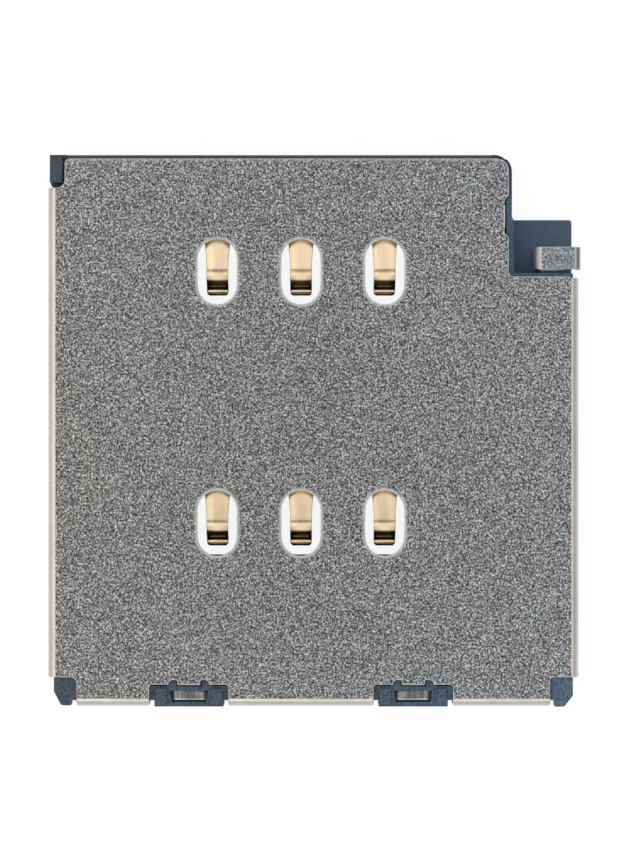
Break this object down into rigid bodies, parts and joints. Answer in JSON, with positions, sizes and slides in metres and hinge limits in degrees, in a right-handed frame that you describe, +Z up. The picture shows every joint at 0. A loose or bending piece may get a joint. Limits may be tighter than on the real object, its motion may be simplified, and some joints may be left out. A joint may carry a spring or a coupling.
{
  "type": "sim card socket",
  "caption": "Flat board-mount socket for a nano SIM card in a tray, with a sheet metal cover, spring contacts and a push rod and lever ejector.",
  "frame": {"origin": "centre of the bounding box on the board face, under the middle of the socket", "axes": "+Z up from the board through the sheet cover, +Y towards the entry where the tray goes in, +X towards the push rod"},
  "size_m": [0.0162, 0.0168, 0.0015],
  "materials": {
    "cover_steel": "bead blasted",
    "housing_plastic": "moulded",
    "contact_gold": "gold plated",
    "rod_steel": "bead blasted",
    "lever_steel": "rolled",
    "rivet_steel": "turned"
  },
  "bodies": {
    "socket": {"cover_shell": "cover_steel", "housing": "housing_plastic", "contact_1": "contact_gold", "contact_2": "contact_gold", "contact_3": "contact_gold", "contact_4": "contact_gold", "contact_5": "contact_gold", "contact_6": "contact_gold", "pivot_rivet": "rivet_steel", "detect_spring": "contact_gold", "detect_contact": "contact_gold"},
    "rod": {"push_rod": "rod_steel"},
    "lever": {"eject_lever": "lever_steel"}
  },
  "joints": [
    {"name": "rod_slide", "type": "slide", "parent": "socket", "child": "rod", "axis": [0, 1, 0], "range_m": [0, 0.0011]},
    {"name": "lever_turn", "type": "hinge", "parent": "socket", "child": "lever", "pos_m": [0.00405, -0.00687, 0], "axis": [0, 0, 1], "range_deg": [0, 25.73]}
  ],
  "couplings": [
    {"joint": "lever_turn", "follows": "rod_slide", "rad_per_m": 408.16}
  ]
}
